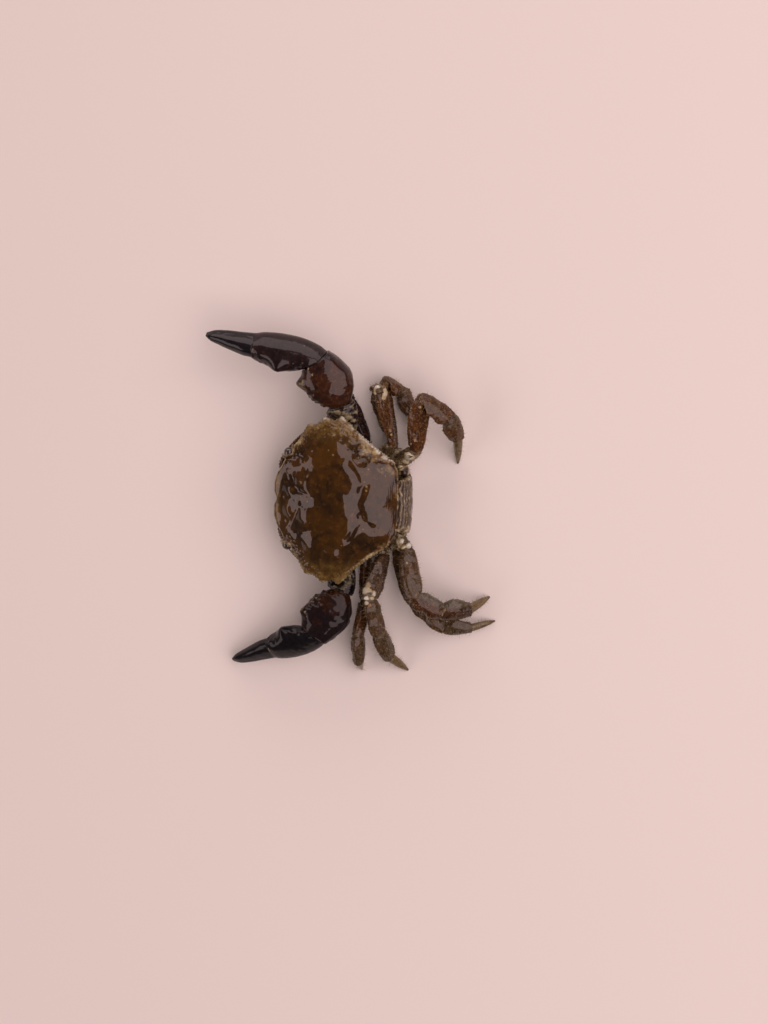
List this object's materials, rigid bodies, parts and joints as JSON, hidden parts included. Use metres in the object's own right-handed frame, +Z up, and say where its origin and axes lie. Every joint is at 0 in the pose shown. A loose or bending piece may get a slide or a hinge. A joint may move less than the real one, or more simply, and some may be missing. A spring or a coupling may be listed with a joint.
{
  "type": "crab model",
  "caption": "Still life-size model of a small crestleg crab resting on its belly, its claws held out in front and its walking legs folded at the sides.",
  "frame": {"origin": "on the floor under the middle of the carapace, on the flat of the folded abdomen", "axes": "+Z up, the crab faces -Y, its left side is +X"},
  "size_m": [0.0243, 0.0208, 0.0051],
  "materials": {
    "carapace_shell": "wet, glossy, mottled olive-brown shell",
    "belly_shell": "damp pale cream-brown shell",
    "tail_shell": "damp speckled brown shell",
    "claw_shell": "wet dark red-brown shell",
    "finger": "wet near-black horn",
    "leg_shell": "wet speckled brown shell",
    "toe": "damp olive-tan shell",
    "feeler": "fine ringed brown feeler",
    "eye": "wet black"
  },
  "bodies": {
    "root": {"carapace": "carapace_shell", "thorax": "belly_shell", "abdomen": "tail_shell", "maxilliped_right": "belly_shell", "maxilliped_left": "belly_shell", "antenna_right": "feeler", "antenna_left": "feeler", "eye_right": "eye", "eye_left": "eye", "claw_right_merus": "claw_shell", "claw_right_carpus": "claw_shell", "claw_right_palm": "claw_shell", "claw_right_dactylus": "finger", "claw_left_merus": "claw_shell", "claw_left_carpus": "claw_shell", "claw_left_palm": "claw_shell", "claw_left_dactylus": "finger", "leg_right_2_merus": "leg_shell", "leg_right_2_carpus": "leg_shell", "leg_right_2_propodus": "leg_shell", "leg_right_2_dactylus": "toe", "leg_right_3_merus": "leg_shell", "leg_right_3_carpus": "leg_shell", "leg_right_3_propodus": "leg_shell", "leg_right_3_dactylus": "toe", "leg_right_4_merus": "leg_shell", "leg_right_4_carpus": "leg_shell", "leg_right_4_propodus": "leg_shell", "leg_right_4_dactylus": "toe", "leg_right_5_merus": "leg_shell", "leg_right_5_carpus": "leg_shell", "leg_right_5_propodus": "leg_shell", "leg_right_5_dactylus": "toe", "leg_left_2_merus": "leg_shell", "leg_left_2_carpus": "leg_shell", "leg_left_2_propodus": "leg_shell", "leg_left_2_dactylus": "toe", "leg_left_3_merus": "leg_shell", "leg_left_3_carpus": "leg_shell", "leg_left_3_propodus": "leg_shell", "leg_left_3_dactylus": "toe", "leg_left_4_merus": "leg_shell", "leg_left_4_carpus": "leg_shell", "leg_left_4_propodus": "leg_shell", "leg_left_4_dactylus": "toe", "leg_left_5_merus": "leg_shell", "leg_left_5_carpus": "leg_shell", "leg_left_5_propodus": "leg_shell", "leg_left_5_dactylus": "toe"}
  },
  "joints": []
}
